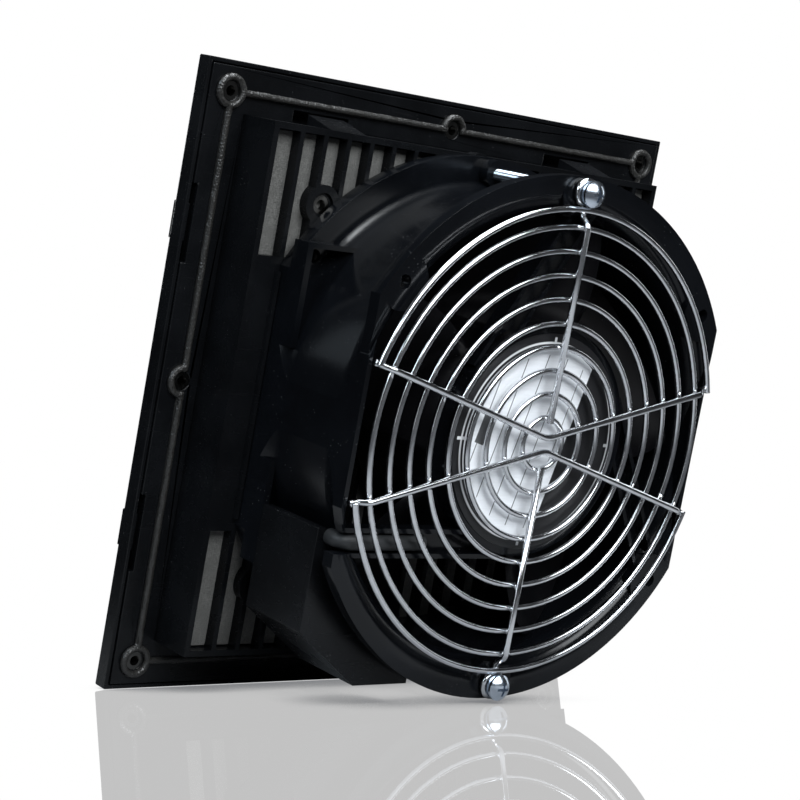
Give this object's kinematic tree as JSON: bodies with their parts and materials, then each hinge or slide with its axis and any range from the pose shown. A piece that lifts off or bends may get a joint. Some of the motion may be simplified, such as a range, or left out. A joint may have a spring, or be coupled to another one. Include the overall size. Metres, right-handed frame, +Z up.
{
  "type": "cabinet filter fan",
  "caption": "Square snap-in filter plate with a louvred front cover, fleece mat and sealing bead, carrying an axial fan with a wire finger guard on its cabinet side.",
  "frame": {"origin": "centre of the panel screw pattern, on the fan axis, in the plane of the flange's back face", "axes": "+Y into the cabinet along the fan axis, +Z up, +X to the right seen from the louvred front"},
  "size_m": [0.204, 0.0843, 0.204],
  "materials": {
    "black_abs": "satin moulded",
    "fleece": "needled filter fleece",
    "foam": "foamed-on sealing bead",
    "insert_metal": "knurled insert",
    "cast_black": "black painted die-cast",
    "blade_plastic": "satin moulded",
    "steel": "turned and ground",
    "brass_washer": "stamped",
    "lamination": "stacked sheets",
    "copper": "enamelled wire",
    "label_foil": "blank foil label",
    "sleeve": "insulating sleeve",
    "white_plastic": "moulded",
    "zinc": "bright zinc plated",
    "rubber": "moulded",
    "chrome": "bright plated wire"
  },
  "bodies": {
    "plate_and_fan": {"base_frame": "black_abs", "filter_box": "black_abs", "filter_mat": "fleece", "panel_gasket": "foam", "panel_inserts": "insert_metal", "corner_inserts": "insert_metal", "fan_inserts": "insert_metal", "front_flange": "cast_black", "fan_housing": "cast_black", "rear_flange": "cast_black", "motor_mount": "cast_black", "ball_bearings": "steel", "stator_core": "lamination", "stator_windings": "copper", "motor_label": "label_foil", "lead_sleeve": "sleeve", "terminal_box": "black_abs", "terminal_lid": "black_abs", "terminal_block": "white_plastic", "terminal_screws": "zinc", "box_screw": "zinc", "cable_grommet": "rubber", "finger_guard": "chrome", "flat_washers": "zinc", "spring_washers": "zinc", "guard_screws": "zinc"},
    "rotor": {"impeller": "blade_plastic", "rotor_cup": "steel", "motor_shaft": "steel", "thrust_washer": "brass_washer", "retaining_ring": "steel"},
    "cover": {"front_cover": "black_abs"}
  },
  "joints": [
    {"name": "rotor_spin", "type": "hinge", "parent": "plate_and_fan", "child": "rotor", "pos_m": [0, 0.04, 0], "axis": [0, 1, 0], "continuous": true},
    {"name": "cover_off", "type": "slide", "parent": "plate_and_fan", "child": "cover", "axis": [0, -1, 0], "range_m": [0, 0.045]}
  ]
}
